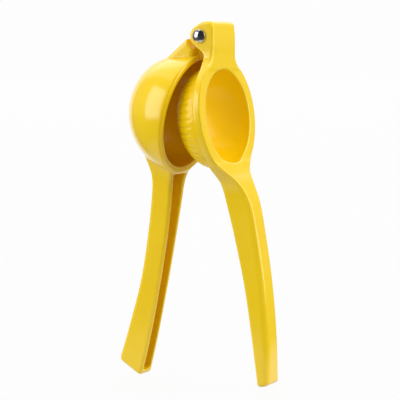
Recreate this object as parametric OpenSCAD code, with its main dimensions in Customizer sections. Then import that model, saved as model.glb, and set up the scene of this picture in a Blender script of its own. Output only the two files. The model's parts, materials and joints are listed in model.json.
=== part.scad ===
// Hinged lemon squeezer, standing open on the ends of its handles.
// Two enamelled castings turn on one two-part rivet: the bowl lever carries the perforated bowl
// and a tongue, and the press lever carries the ribbed dome and a fork that takes the tongue.
// A lever is drawn with the hinge at the origin, running down -Z, with the press side towards +X.
// A side view is a list of [distance down from the hinge, height towards the press side].
// The handles' sections are counted from the bowl's middle, so they follow the bowl.

/* [Stance] */
// Angle between the two levers as they stand open
open_angle = 19.9; // [14:0.1:28]
// Angle between the two levers when they are wide open
full_open = 144; // [100:1:145]

/* [Bowl] */
// Distance from the hinge to the middle of the bowl
bowl_reach = 48.1; // [44:0.1:52]
// Inner radius of the bowl
bowl_inner_r = 33; // [32.4:0.1:34]
// Wall of the bowl
bowl_wall = 4.4; // [3:0.1:5.5]
// How far the bowl's middle lies behind the pivot line
bowl_set_back = 2.9; // [1.5:0.1:4]
// How far the rim lies behind the pivot line
rim_set_back = 1; // [0.5:0.1:1.4]
// Radius of the rim's outer edge
rim_round = 1.2; // [0.4:0.1:1.5]
// Radius of a juice hole
juice_hole_r = 2.1; // [1:0.1:2.6]
// Distance between rings of juice holes
juice_hole_pitch = 6.6; // [6:0.1:8]
// Rings of juice holes round the middle one
juice_hole_rings = 2; // [1:1:3]

/* [Bowl neck and tongue] */
// Width of the neck between bowl and hinge
neck_w = 26; // [20:0.5:30]
// Height of the neck's front face, behind the pivot line
neck_set_back = 3.4; // [2.6:0.1:5]
// Height of the neck's back edge, behind the pivot line
neck_back = 10; // [8:0.1:11]
// Distance down from the pin to the neck's back edge
shoulder_reach = 4.6; // [4:0.1:6]
// Slope of the neck's back, in degrees
neck_slope = 37; // [30:1:42]
// Radius of the neck's end, round the pin
shoulder_r = 9.8; // [9:0.1:11]
// Width of the tongue
tongue_w = 13; // [9:0.5:15]
// Radius of the tongue's end, round the pin
tongue_r = 5.5; // [4.5:0.1:5.8]

/* [Bowl handle] */
// Bottom of the bowl: distance below its middle, inner edge, depth, width
bowl_root = [30.9, 1.2, 20, 28]; // [-10:0.1:180]
// Throat: distance, inner edge, depth, width
bowl_throat = [41.9, 1.7, 14.4, 20.4]; // [-10:0.1:180]
// Waist: distance, inner edge, depth, width
bowl_waist = [55.9, 0.7, 13.1, 17.2]; // [-10:0.1:180]
// Start of the grip: distance, inner edge, depth, width
bowl_grip_top = [78.9, -1.1, 12.3, 14.6]; // [-10:0.1:180]
// Middle of the grip: distance, inner edge, depth, width
bowl_grip_mid = [106.9, -2.6, 12.7, 13.5]; // [-10:0.1:180]
// Flare above the end: distance, inner edge, depth, width
bowl_grip_low = [138.9, -3.6, 15.6, 13.1]; // [-10:0.1:180]
// End of the handle: distance, inner edge, depth, width
bowl_end = [166.7, -3.4, 17.9, 13.8]; // [-10:0.1:180]
// Slant of the handle's end, in degrees
bowl_end_slant = 23; // [0:1:30]
// Distance from the bowl's middle down to the top of the channel
bowl_channel_top = 39.9; // [38:0.1:48]
// Wall beside the channel
bowl_channel_wall = 2; // [1.5:0.1:3]

/* [Press plate] */
// Gap between the press plate and the bowl's rim when the levers are parallel
rim_gap = 2.4; // [2:0.1:4]
// Thickness of the press plate
plate_t = 5; // [4:0.1:6]
// How far the plate's edge lies inside the bowl's outer edge
plate_inset = 1.7; // [0.5:0.1:3]
// How far the plate's middle lies above the bowl's middle
plate_rise = 0.6; // [-1:0.1:2]
// Radius of the plate's edges
plate_round = 1.4; // [0.4:0.1:2]
// Radius of the hollow at the plate's face
hollow_r = 28.4; // [26:0.1:29]

/* [Dome] */
// How far the dome's middle lies below the bowl's middle
dome_drop = 0.5; // [-1:0.1:1.5]
// Gap between the dome's foot and the bowl's inner wall
dome_gap = 2.1; // [1.6:0.1:3]
// Depth of the dome below the plate
dome_depth = 25; // [20:0.1:27]
// Radius of the dome's shoulder
dome_shoulder_r = 17; // [12:0.5:19]
// Wall of the dome under its ribs
dome_wall = 2.6; // [2:0.1:4]
// Number of ribs round the dome
rib_count = 72; // [36:1:90]
// Height of a rib
rib_h = 0.7; // [0.3:0.1:1.2]
// Width of a rib, as an angle share of its pitch
rib_share = 0.6; // [0.3:0.05:0.8]
// Radius, from the dome's axis, at which the ribs begin
rib_start_r = 9; // [6:0.5:16]

/* [Press fork] */
// Width over the two ears
fork_w = 30; // [26:0.5:34]
// Height of the fork's front face
fork_front = 8.7; // [7.6:0.1:10]
// Height of the fork's top above the pin
fork_top = 8.3; // [7.5:0.1:9.5]
// Radius of the fork's top corners
fork_corner_r = 3.2; // [1:0.1:5]
// Radius of the ears round the pin
ear_r = 6.5; // [6:0.1:7]
// Angle above the pin at which an ear's round back meets the fork's top
ear_lean = 35; // [20:1:50]
// Height down to which the fork's top stays flat, before it falls to the ears
fork_brow = 2.2; // [0:0.1:4]
// Distance down from the pin at which the fork's face starts to fall to the plate
fork_run_out = 12; // [8:0.5:16]
// Flat left on the plate between the fork's fall and the hollow
fork_toe = 0.6; // [0.3:0.1:2]
// Gap between the tongue and an ear
tongue_gap = 0.45; // [0.3:0.05:0.8]
// Angle by which the slot lets the tongue turn past wide open
slot_spare = 5; // [2:1:10]
// Gap between the tongue's end and the floor of the slot
slot_gap = 0.5; // [0.4:0.05:1]
// Distance down from the pin at which the slot's floor leaves the fork
slot_reach = 14.4; // [12:0.1:18]

/* [Press handle] */
// Foot of the plate: distance below the bowl's middle, inner edge, depth, width
press_root = [28.9, 1.4, 5.1, 40]; // [-10:0.1:180]
// Throat: distance, inner edge, depth, width
press_throat = [40.9, 1.9, 12.3, 21]; // [-10:0.1:180]
// Waist: distance, inner edge, depth, width
press_waist = [52.9, 2.9, 15.4, 15.4]; // [-10:0.1:180]
// Start of the grip: distance, inner edge, depth, width
press_grip_top = [71.9, 5.6, 14.7, 14.8]; // [-10:0.1:180]
// Middle of the grip: distance, inner edge, depth, width
press_grip_mid = [101.9, 9, 12.9, 15.4]; // [-10:0.1:180]
// Taper above the end: distance, inner edge, depth, width
press_grip_low = [134.9, 10.5, 10.8, 15.5]; // [-10:0.1:180]
// End of the handle: distance, inner edge, depth, width
press_end = [163.6, 11.2, 6.6, 15.6]; // [-10:0.1:180]
// Slant of the handle's end, in degrees
press_end_slant = 15; // [0:1:30]
// Distance from the bowl's middle down to the top of the channel
press_channel_top = 44.9; // [42:0.1:52]
// Wall beside the channel
press_channel_wall = 2.6; // [2:0.1:3.5]

/* [Both handles] */
// Metal between a channel's floor and the outer edge
channel_floor = 3.6; // [2.5:0.1:5]
// Metal between a channel and the end of its handle
channel_end_wall = 3.6; // [3:0.1:6]
// Radius of a channel's corners
channel_round = 3.2; // [1:0.1:3.5]
// Radius of the corners at a handle's end
tip_round = 2.4; // [1:0.1:3]
// Bevel along a handle's outer edges
edge_bevel = 3; // [1:0.1:4]

/* [Rivet] */
// Radius of the rivet's shank
shank_r = 2.5; // [2:0.05:3]
// Radial clearance of the shank in the castings
shank_gap = 0.05; // [0.02:0.01:0.1]
// Radius of a rivet head
head_r = 4.05; // [3.6:0.05:4.6]
// Height of a rivet head
head_h = 2.5; // [1.5:0.1:3.5]
// Radius of the stud that joins the rivet's two halves
stud_r = 1.5; // [1:0.05:1.7]
// Length of the stud
stud_l = 14; // [8:0.5:20]
// Air left beyond the stud's end
stud_end_gap = 1; // [0.5:0.1:2]
// Air between the shank's end and the cap's head
shank_end_gap = 0.4; // [0.2:0.1:1]

/* [Hidden] */
enamel = "#FCD72F";
polished_steel = "#D9DADC";
round_steps = 120;
corner_steps = 8;
curve_steps = 40;
reach = 260;

rim_h = -rim_set_back;
bowl_outer_r = bowl_inner_r + bowl_wall;
plate_reach = bowl_reach - plate_rise;
dome_reach = bowl_reach + dome_drop;
plate_back = rim_h + rim_gap;
plate_front = plate_back + plate_t;
plate_r = bowl_outer_r - plate_inset;
dome_r = bowl_inner_r - dome_gap;
dome_core_r = dome_r - rib_h;
hollow_depth = dome_depth - rib_h - dome_wall + plate_t;
hollow_shoulder_r = dome_shoulder_r - rib_h - dome_wall;
slot_w = tongue_w + 2 * tongue_gap;
bore_r = shank_r + shank_gap;
fork_half = fork_w / 2;

bowl_sections = [bowl_root, bowl_throat, bowl_waist, bowl_grip_top, bowl_grip_mid, bowl_grip_low,
                 bowl_end];
press_sections = [press_root, press_throat, press_waist, press_grip_top, press_grip_mid,
                  press_grip_low, press_end];
function from_hinge(sections) = [for (s = sections) [bowl_reach + s[0], s[1], s[2], s[3]]];
bowl_stations = from_hinge(bowl_sections);
press_stations = from_hinge(press_sections);

// A smooth curve through the stations: a cubic between neighbours, with each station's slope
// taken from the stations on either side of it. The value k picks inner edge, depth or width.
function near(s, i) = s[max(0, min(len(s) - 1, i))];
function slope(s, i, k) = (near(s, i + 1)[k] - near(s, i - 1)[k])
    / (near(s, i + 1)[0] - near(s, i - 1)[0]);
function blend(s, i, k, d, t) =
    (1 - t) * (1 - t) * ((1 + 2 * t) * s[i][k] + t * d * slope(s, i, k))
    + t * t * ((3 - 2 * t) * s[i + 1][k] - (1 - t) * d * slope(s, i + 1, k));
function span(s, u) = max([0, for (i = [0 : len(s) - 2]) if (u >= s[i][0]) i]);
function at(s, k, u) = let (i = span(s, u), d = s[i + 1][0] - s[i][0])
    blend(s, i, k, d, (u - s[i][0]) / d);
function inner(s, u) = at(s, 1, u);
function outer(s, u) = at(s, 1, u) + at(s, 2, u);
function half_width(s, u) = at(s, 3, u) / 2;
function last(s) = s[len(s) - 1];
function handle_end(s) = last(s)[0];

// Distances down the lever from one place to another, close together
function steps(from, to) = [for (i = [0 : curve_steps]) from + (to - from) * i / curve_steps];

// The middle and the points of a round corner at b, between the directions to a and to c
function unit(v) = v / norm(v);
function corner_middle(a, b, c, r) = let (p = unit(a - b), q = unit(c - b), m = unit(p + q))
    b + m * r / sqrt(1 - pow(m * p, 2));
function corner(a, b, c, r) = let (
        m = corner_middle(a, b, c, r), p = unit(a - b), q = unit(c - b),
        from = b + p * ((m - b) * p) - m, to = b + q * ((m - b) * q) - m,
        start = atan2(from[1], from[0]), turn = atan2(to[1], to[0]) - start,
        swing = turn > 180 ? turn - 360 : turn < -180 ? turn + 360 : turn)
    [for (i = [0 : corner_steps]) m + r * [cos(start + swing * i / corner_steps),
                                           sin(start + swing * i / corner_steps)]];

// The three points that make a handle's inner end corner, and those of its outer end corner
function cut_u(s, slant) = handle_end(s) - last(s)[2] * tan(slant);
function inner_corner(s, slant) = let (u = handle_end(s), w = cut_u(s, slant))
    [[u - 2 * tip_round, inner(s, u - 2 * tip_round)], [u, inner(s, u)], [w, outer(s, w)]];
function outer_corner(s, slant) = let (u = handle_end(s), w = cut_u(s, slant))
    [[u, inner(s, u)], [w, outer(s, w)], [w - 2 * tip_round, outer(s, w - 2 * tip_round)]];
function tip_middle(s, slant) = let (k = inner_corner(s, slant))
    corner_middle(k[0], k[1], k[2], tip_round);

// A handle's outline seen from the side, with its outer edge towards +X
function handle_side(s, slant) = let (
        k = inner_corner(s, slant), j = outer_corner(s, slant),
        ins = [for (u = steps(s[0][0], k[0][0])) [u, inner(s, u)]],
        outs = [for (u = steps(j[2][0], s[0][0])) [u, outer(s, u)]])
    concat(ins, corner(k[0], k[1], k[2], tip_round), corner(j[0], j[1], j[2], tip_round), outs);

// The levers stand so that both handle ends touch the ground
bowl_tip = tip_middle(bowl_stations, bowl_end_slant);
press_tip = tip_middle(press_stations, press_end_slant);
press_tip_r = norm(press_tip);
press_tip_a = open_angle + atan2(press_tip[1], press_tip[0]);
bowl_tilt = atan2(bowl_tip[0] - press_tip_r * cos(press_tip_a),
                  press_tip_r * sin(press_tip_a) + bowl_tip[1]);
press_tilt = open_angle - bowl_tilt;
hinge_z = bowl_tip[0] * cos(bowl_tilt) - bowl_tip[1] * sin(bowl_tilt) + tip_round;

// The hinge stands where the middle of the whole width lies over the origin
left = min([for (p = handle_side(bowl_stations, bowl_end_slant))
            -p[0] * sin(bowl_tilt) - p[1] * cos(bowl_tilt)]);
right = max([for (p = handle_side(press_stations, press_end_slant))
             p[0] * sin(press_tilt) + p[1] * cos(press_tilt)]);
hinge_x = -(left + right) / 2;

module stand_bowl() translate([hinge_x, 0, hinge_z]) rotate([0, bowl_tilt, 0]) children();
module stand_press() translate([hinge_x, 0, hinge_z]) rotate([0, -press_tilt, 0]) children();

// A slab of width w with the given outline in side view
module side_slab(outline, w)
    rotate([90, 0, 0]) linear_extrude(w, center = true)
        polygon([for (p = outline) [p[1], -p[0]]]);

// A slab that fills the given outline, of [distance down, distance across], seen from the press side
module front_slab(outline, from = -reach, to = reach)
    translate([from, 0, 0]) rotate([90, 0, 90]) linear_extrude(to - from)
        polygon([for (p = outline) [p[1], -p[0]]]);

// A body turned about an axis square to the lever, at distance u down it
module turned(u) translate([0, 0, -u]) rotate([0, 90, 0]) rotate_extrude($fn = round_steps) children();

module pin_hole(r, w = reach) rotate([90, 0, 0]) cylinder(h = w, r = r, center = true, $fn = round_steps);

// Both sides of an outline whose half width is a function of the distance
function both_sides(half) = concat(half, [for (i = [len(half) - 1 : -1 : 0]) [half[i][0], -half[i][1]]]);

// The slanting face that bevels an outer edge keeps this distance from the lever's middle line
function bevel_line(s, u) = (half_width(s, u) + outer(s, u) - edge_bevel) * sqrt(1 / 2);

module handle_bevel(s)
    side_slab(concat([[s[0][0], -reach]],
                     [for (u = steps(s[0][0], handle_end(s))) [u, bevel_line(s, u)]],
                     [[handle_end(s), -reach]]), 2 * reach);

// A handle with its outer edge towards +X: side view, front view and two bevels in one
module handle_bar(s, slant) intersection() {
    side_slab(handle_side(s, slant), 2 * reach);
    front_slab(both_sides([for (u = steps(s[0][0], handle_end(s))) [u, half_width(s, u)]]));
    rotate([0, 0, 45]) handle_bevel(s);
    rotate([0, 0, -45]) handle_bevel(s);
}

// The channel in a handle's inner side
module channel(s, top, wall) {
    end = handle_end(s) - channel_end_wall;
    mid = (top + end) / 2;
    function side(u) = half_width(s, u) - wall;
    intersection() {
        side_slab(concat([[top, -reach]],
                         [for (u = steps(top, end)) [u, outer(s, u) - channel_floor]],
                         [[end, -reach]]), reach);
        front_slab(both_sides(concat(
            corner([top, 0], [top, side(top)], [mid, side(mid)], channel_round),
            [for (u = steps(top + 2 * channel_round, end - 2 * channel_round)) [u, side(u)]],
            corner([mid, side(mid)], [end, side(end)], [end, 0], channel_round))));
    }
}

// Half of a dome's section in [radius, height]: a ball-shaped crown of radius crown_r blends
// into a shoulder of radius shoulder_r, and the foot has radius foot_r at height foot_h
module dome_section(foot_r, depth, shoulder_r, foot_h) {
    k = foot_r - shoulder_r;
    crown_r = (k * k + depth * depth - shoulder_r * shoulder_r) / (2 * (depth - shoulder_r));
    crown_h = foot_h - depth + crown_r;
    lean = [k, foot_h - crown_h] * reach / norm([k, foot_h - crown_h]);
    intersection() {
        union() {
            intersection() {
                translate([0, crown_h]) circle(crown_r, $fn = round_steps);
                polygon([[0, crown_h], [lean[0], crown_h + lean[1]], [0, crown_h - reach]]);
            }
            translate([k, foot_h]) circle(shoulder_r, $fn = round_steps);
            polygon([[0, crown_h], [k, foot_h], [0, foot_h]]);
        }
        translate([0, foot_h - reach]) square([reach, reach]);
    }
}

// A ball's section in [radius, height], for turning
module half_disc(r, h) intersection() {
    translate([0, h]) circle(r, $fn = round_steps);
    translate([0, h - r]) square([r, 2 * r]);
}

// ---- Bowl lever ----

// The bowl's outer section: a ball cut off at the rim, with the rim's outer edge rounded
module bowl_section() {
    soft_r = bowl_outer_r - rim_round;
    edge_h = rim_h - rim_round;
    edge_r = sqrt(soft_r * soft_r - pow(edge_h + bowl_set_back, 2));
    intersection() {
        half_disc(bowl_outer_r, -bowl_set_back);
        translate([0, edge_h - reach]) square(reach);
    }
    intersection() {
        half_disc(soft_r, -bowl_set_back);
        translate([0, rim_h - reach]) square(reach);
    }
    translate([edge_r, edge_h]) circle(rim_round, $fn = round_steps);
}

// The neck leaves the bowl and ends in a hollowed shoulder that faces the ears; its foot lies
// inside the ball, whose hollow is cut afterwards
module neck() {
    foot = bowl_reach - bowl_outer_r / 2;
    back = neck_back + (foot - shoulder_reach) * tan(neck_slope);
    difference() {
        side_slab([[0, -neck_set_back], [foot, -neck_set_back], [foot, -back],
                   [shoulder_reach, -neck_back]], neck_w);
        pin_hole(shoulder_r);
    }
}

module tongue() {
    foot = bowl_reach - bowl_inner_r;
    side_slab([[0, tongue_r], [foot, rim_h], [foot, -neck_back], [shoulder_r, -tongue_r],
               [0, -tongue_r]], tongue_w);
    pin_hole(tongue_r, tongue_w);
}

module juice_holes() {
    for (ring = [0 : juice_hole_rings], i = [0 : max(0, 6 * ring - 1)])
        rotate([360 * i / max(1, 6 * ring), 0, 0])
            translate([-reach, 0, ring * juice_hole_pitch])
                rotate([0, 90, 0]) cylinder(h = reach, r = juice_hole_r, $fn = round_steps);
}

module bowl_lever() color(enamel) stand_bowl() difference() {
    union() {
        turned(bowl_reach) bowl_section();
        neck();
        tongue();
        mirror([1, 0, 0]) handle_bar(bowl_stations, bowl_end_slant);
    }
    turned(bowl_reach) half_disc(bowl_inner_r, -bowl_set_back);
    translate([0, 0, -bowl_reach]) juice_holes();
    mirror([1, 0, 0]) channel(bowl_stations, bowl_reach + bowl_channel_top, bowl_channel_wall);
    pin_hole(bore_r);
}

// ---- Press lever ----

// The plate's section: a flat disc with rounded edges
module plate_section() {
    flat_r = plate_r - plate_round;
    translate([0, plate_back]) square([flat_r, plate_t]);
    translate([0, plate_back + plate_round]) square([plate_r, plate_t - 2 * plate_round]);
    for (h = [plate_back + plate_round, plate_front - plate_round])
        translate([flat_r, h]) circle(plate_round, $fn = round_steps);
}

// The fork's block runs out into the plate, and its ears are round about the pin
module fork() {
    ear_low = ear_r * sqrt(1 / 2) * [1, -1];
    ear_top = -ear_r * [cos(ear_lean), sin(ear_lean)];
    runs_out = ear_low + [1, 1] * (plate_back - ear_low[1]);
    hollow_edge = plate_reach - hollow_r;
    foot = hollow_edge + plate_round;
    intersection() {
        union() {
            side_slab(concat(
                [[0, 0], ear_low, runs_out, [foot, plate_back], [foot, plate_front],
                 [hollow_edge - fork_toe, plate_front], [fork_run_out, fork_front]],
                corner([0, fork_front], [-fork_top, fork_front], [-fork_top, 0], fork_corner_r),
                [[-fork_top, fork_brow], ear_top]), fork_w);
            pin_hole(ear_r, fork_w);
        }
        front_slab(both_sides(concat(
            corner([-fork_top, 0], [-fork_top, fork_half], [0, fork_half], fork_corner_r),
            [[foot, fork_half]])));
    }
}

// The slot leaves the tongue free from levers together to levers wide open
module slot() {
    floor_r = tongue_r + slot_gap;
    far = reach / 2;
    away = full_open + slot_spare;
    side_slab([[0, floor_r], [slot_reach, plate_back], [far, -far], [0, -far],
               floor_r * [-sin(away), -cos(away)] + far * [cos(away), -sin(away)],
               floor_r * [-sin(away), -cos(away)]], slot_w);
    pin_hole(floor_r, slot_w);
}

// A star whose points are the ribs, seen along the dome's axis; its middle is the smooth crown
module rib_star() {
    pitch = 360 / rib_count;
    rib = pitch * rib_share / 2;
    ring = dome_r + rib_h;
    polygon([for (i = [0 : rib_count - 1], corner = [[-pitch / 2, rib_start_r], [-rib, rib_start_r],
             [-rib, ring], [rib, ring], [rib, rib_start_r]])
             corner[1] * [cos(i * pitch + corner[0]), sin(i * pitch + corner[0])]]);
}

module hollow()
    turned(plate_reach) dome_section(hollow_r, hollow_depth, hollow_shoulder_r, plate_front);

module ribs() difference() {
    intersection() {
        turned(dome_reach) dome_section(dome_r, dome_depth, dome_shoulder_r, plate_back);
        translate([-reach, 0, -dome_reach]) rotate([90, 0, 90]) linear_extrude(2 * reach) rib_star();
    }
    hollow();
}

module press_casting() difference() {
    union() {
        turned(plate_reach) plate_section();
        turned(dome_reach)
            dome_section(dome_core_r, dome_depth - rib_h, dome_shoulder_r - rib_h, plate_back);
        fork();
        handle_bar(press_stations, press_end_slant);
    }
    hollow();
    slot();
    channel(press_stations, bowl_reach + press_channel_top, press_channel_wall);
    pin_hole(bore_r);
}

module press_lever() color(enamel) stand_press() {
    press_casting();
    ribs();
}

// ---- Rivet ----

// A domed head that sits on the -Y ear, seen as part of a ball
module rivet_head() {
    ball_r = (head_r * head_r + head_h * head_h) / (2 * head_h);
    translate([0, -fork_half, 0]) rotate([90, 0, 0]) intersection() {
        translate([0, 0, head_h - ball_r]) sphere(ball_r, $fn = round_steps);
        cylinder(h = head_h, r = head_r, $fn = round_steps);
    }
}

// The shank runs through both ears and is drilled from its far end
module rivet_shank() color(polished_steel) stand_press() difference() {
    union() {
        rivet_head();
        translate([0, fork_half - shank_end_gap, 0]) rotate([90, 0, 0])
            cylinder(h = fork_w - shank_end_gap, r = shank_r, $fn = round_steps);
    }
    translate([0, reach + fork_half - stud_l - stud_end_gap, 0]) pin_hole(stud_r, 2 * reach);
}

// The cap's stud is pressed into the shank, and its head sits on the other ear
module rivet_cap() color(polished_steel) stand_press() {
    mirror([0, 1, 0]) rivet_head();
    translate([0, fork_half - stud_l / 2, 0]) pin_hole(stud_r, stud_l);
}

bowl_lever();
press_lever();
rivet_shank();
rivet_cap();
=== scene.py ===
"""The hinged lemon squeezer: its castings, ribs, rivet, finishes, lights and camera.

Each lever is worked out in its own frame, with the hinge at the origin, the lever running down -Z
and the press side towards +X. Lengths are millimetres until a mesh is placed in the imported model.
"""

import json
import logging
import math
from dataclasses import dataclass
from enum import Enum

import bpy
import numpy as np
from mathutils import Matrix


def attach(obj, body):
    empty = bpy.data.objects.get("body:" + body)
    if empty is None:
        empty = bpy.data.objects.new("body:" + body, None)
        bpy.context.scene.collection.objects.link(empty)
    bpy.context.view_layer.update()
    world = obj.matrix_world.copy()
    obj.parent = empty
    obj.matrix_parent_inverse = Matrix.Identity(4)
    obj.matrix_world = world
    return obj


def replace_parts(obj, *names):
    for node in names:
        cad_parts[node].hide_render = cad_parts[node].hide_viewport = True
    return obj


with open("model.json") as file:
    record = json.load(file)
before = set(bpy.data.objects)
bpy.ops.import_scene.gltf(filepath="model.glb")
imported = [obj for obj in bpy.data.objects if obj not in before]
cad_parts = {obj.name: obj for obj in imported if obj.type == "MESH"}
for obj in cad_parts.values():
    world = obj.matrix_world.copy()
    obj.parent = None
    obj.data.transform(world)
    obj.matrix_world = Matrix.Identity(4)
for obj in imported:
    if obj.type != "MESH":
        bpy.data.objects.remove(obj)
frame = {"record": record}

MM = 0.001
# Angle between the two levers in the photograph, in degrees
OPEN_ANGLE = 19.9
Array = np.ndarray
log = logging.getLogger("squeezer")


class Body(Enum):
    """The two bodies that the hinge joins."""

    BOWL = "bowl"
    PRESS = "press"


class Slot(Enum):
    """The record's material slots."""

    ENAMEL = "enamel"
    RIVET = "rivet"


# ---- Solid shapes as signed distances ----


def join(a: Array, b: Array, radius: float | Array) -> Array:
    """Join two solids with a fillet.

    The distance is that to a quarter circle of the radius laid into the corner between them.

    Args:
        a: Signed distance to the first solid, negative inside.
        b: Signed distance to the second solid.
        radius: Radius of the fillet.

    Returns:
        Signed distance to the joined solid.
    """
    corner = np.hypot(np.maximum(radius - a, 0), np.maximum(radius - b, 0))
    return np.maximum(np.minimum(a, b), radius) - corner


def common(a: Array, b: Array, radius: float | Array, cosine: float = 0.0) -> Array:
    """Keep what two solids share, with a round edge of the radius.

    Beside the edge's middle line the distance is that to the line, less the radius, and
    elsewhere that to the nearer face.

    Args:
        a: Signed distance to the first solid, negative inside.
        b: Signed distance to the second solid.
        radius: Radius of the edge.
        cosine: Cosine of the angle between the ways that the two faces look.

    Returns:
        Signed distance to the shared solid.
    """
    a, b = a + radius, b + radius
    line = np.sqrt((a * a + b * b - 2 * cosine * a * b) / (1 - cosine * cosine))
    beside = (a > cosine * b) & (b > cosine * a)
    return np.where(beside, line, np.maximum(a, b)) - radius


def cut(a: Array, b: Array, radius: float | Array) -> Array:
    """Cut the second solid out of the first, with a round edge of the radius.

    Args:
        a: Signed distance to the solid that is cut.
        b: Signed distance to the cutter.
        radius: Radius of the edge.

    Returns:
        Signed distance to what is left.
    """
    return common(a, -b, radius)


def beyond(u: Array, v: Array, a: tuple[float, float], b: tuple[float, float]) -> Array:
    """Distance outside the straight line from a to b, with the solid on the line's right.

    Args:
        u: Distances down the lever.
        v: Heights.
        a: Where the line starts, as (distance, height).
        b: Where it ends.

    Returns:
        Signed distance to the line, the cross product with its unit direction.
    """
    run, rise = b[0] - a[0], b[1] - a[1]
    return ((v - a[1]) * run - (u - a[0]) * rise) / math.hypot(run, rise)


def fade(value: Array, start: float, end: float) -> Array:
    """Fall evenly from 1 at the start to 0 at the end, and stay level outside them.

    Args:
        value: Distances or sizes.
        start: The value up to which the result is 1.
        end: The value from which it is 0.

    Returns:
        The result at each value.
    """
    return np.clip((end - value) / (end - start), 0, 1)


@dataclass(frozen=True)
class Station:
    """A handle's section at one place: how far down it is, its inner edge, depth and width."""

    down: float
    inner: float
    depth: float
    width: float


@dataclass(frozen=True)
class Handle:
    """A channelled handle that swells and tapers through its stations.

    Its slanted end is rounded more on the inner side than at the outer corner, and the rounding
    of its outer edges goes from that of the root to that of the grip over a length.
    """

    stations: tuple[Station, ...]
    slant: float
    channel_top: float
    channel_share: float
    outer_round: float
    root_round: float
    most_round: float = 0.45
    channel_floor: float = 3.6
    floor_round: float = 1.4
    end_wall: float = 4.8
    channel_round: float = 2.4
    channel_end_round: float = 2.4
    end_round: float = 3.4
    corner_round: float = 1.6
    tip_round: float = 2.8
    heel_round: float = 3.2
    soften_over: float = 30.0
    inner_round: float = 0.9
    lip_round: float = 0.55

    def curve(self, down: Array, size: str) -> tuple[Array, Array]:
        """Carry one size through the stations.

        Between neighbours it is the cubic that meets both with the slope of the chord between
        the stations on either side.

        Args:
            down: Distances down the lever.
            size: Name of the size in Station.

        Returns:
            The size and its slope at each distance.
        """
        place = np.array([s.down for s in self.stations])
        value = np.array([getattr(s, size) for s in self.stations])
        order = np.arange(len(place))
        before, after = np.maximum(order - 1, 0), np.minimum(order + 1, len(place) - 1)
        slope = (value[after] - value[before]) / (place[after] - place[before])
        down = np.clip(down, place[0], place[-1])
        i = np.clip(np.searchsorted(place, down, side="right") - 1, 0, len(place) - 2)
        span = place[i + 1] - place[i]
        t = (down - place[i]) / span
        here, there = value[i], value[i + 1]
        near, far = span * slope[i], span * slope[i + 1]
        at = (1 - t) ** 2 * ((1 + 2 * t) * here + t * near) + t * t * ((3 - 2 * t) * there - (1 - t) * far)
        rate = 6 * t * (1 - t) * (there - here) + (1 - t) * (1 - 3 * t) * near + t * (3 * t - 2) * far
        return at, rate / span

    def channel(self, down: Array, height: Array, across: Array) -> Array:
        """Signed distance to the round-cornered channel in the handle's inner side.

        Args:
            down: Distances down the lever.
            height: Heights, towards the handle's outer edge.
            across: Distances across the lever.

        Returns:
            Signed distance, negative in the channel.
        """
        inner, inner_slope = self.curve(down, "inner")
        depth, depth_slope = self.curve(down, "depth")
        width, width_slope = self.curve(down, "width")
        share = self.channel_share
        plan = (np.abs(across) - share * width) / np.hypot(1, share * width_slope)
        plan = common(plan, self.channel_top - down, self.channel_round)
        plan = common(plan, down - self.stations[-1].down + self.end_wall, self.channel_end_round)
        floor = (height - inner - depth + self.channel_floor) / np.hypot(1, inner_slope + depth_slope)
        return common(plan, floor, self.floor_round)

    def hollow_shade(self, down: Array, height: Array, across: Array) -> Array:
        """Painted shade in the channel: 1 on its walls, fading to 0 just outside its edges."""
        return fade(self.channel(down, height, across), -0.1, 0.4)

    def distance(self, down: Array, height: Array, across: Array) -> Array:
        """Signed distance to the handle, channel and all.

        A rounded bar between inner edge, outer edge and sides, cut at a slant at its end, less
        its channel.

        Args:
            down: Distances down the lever.
            height: Heights, towards the handle's outer edge.
            across: Distances across the lever.

        Returns:
            Signed distance, negative in the metal.
        """
        inner, inner_slope = self.curve(down, "inner")
        depth, depth_slope = self.curve(down, "depth")
        width, width_slope = self.curve(down, "width")
        half, side_slope = width / 2, width_slope / 2
        outer, outer_slope = inner + depth, inner_slope + depth_slope
        first, last = self.stations[0], self.stations[-1]
        soften = np.clip((down - first.down) / self.soften_over, 0, 1)
        edge = self.root_round + (self.outer_round - self.root_round) * soften
        edge = np.minimum(edge, self.most_round * np.minimum(depth, width))
        side = (np.abs(across) - half) / np.hypot(1, side_slope)
        over = (height - outer) / np.hypot(1, outer_slope)
        under = (inner - height) / np.hypot(1, inner_slope)
        corner = last.down - last.depth * math.tan(math.radians(self.slant))
        there = np.array([corner])
        top = float(self.curve(there, "inner")[0][0] + self.curve(there, "depth")[0][0])
        end = beyond(down, height, (corner, top), (last.down, last.inner))
        lean = math.sin(math.radians(self.slant))
        over = common(over, end, self.heel_round, lean)
        under = common(under, end, self.tip_round, -lean)
        inward = np.clip((outer - height) / depth, 0, 1)
        side = common(side, end, self.corner_round + (self.end_round - self.corner_round) * inward)
        bar = common(common(side, over, edge), under, self.inner_round)
        bar = np.maximum(bar, first.down - down)
        return cut(bar, self.channel(down, height, across), self.lip_round)


# ---- From distances to meshes ----


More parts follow.
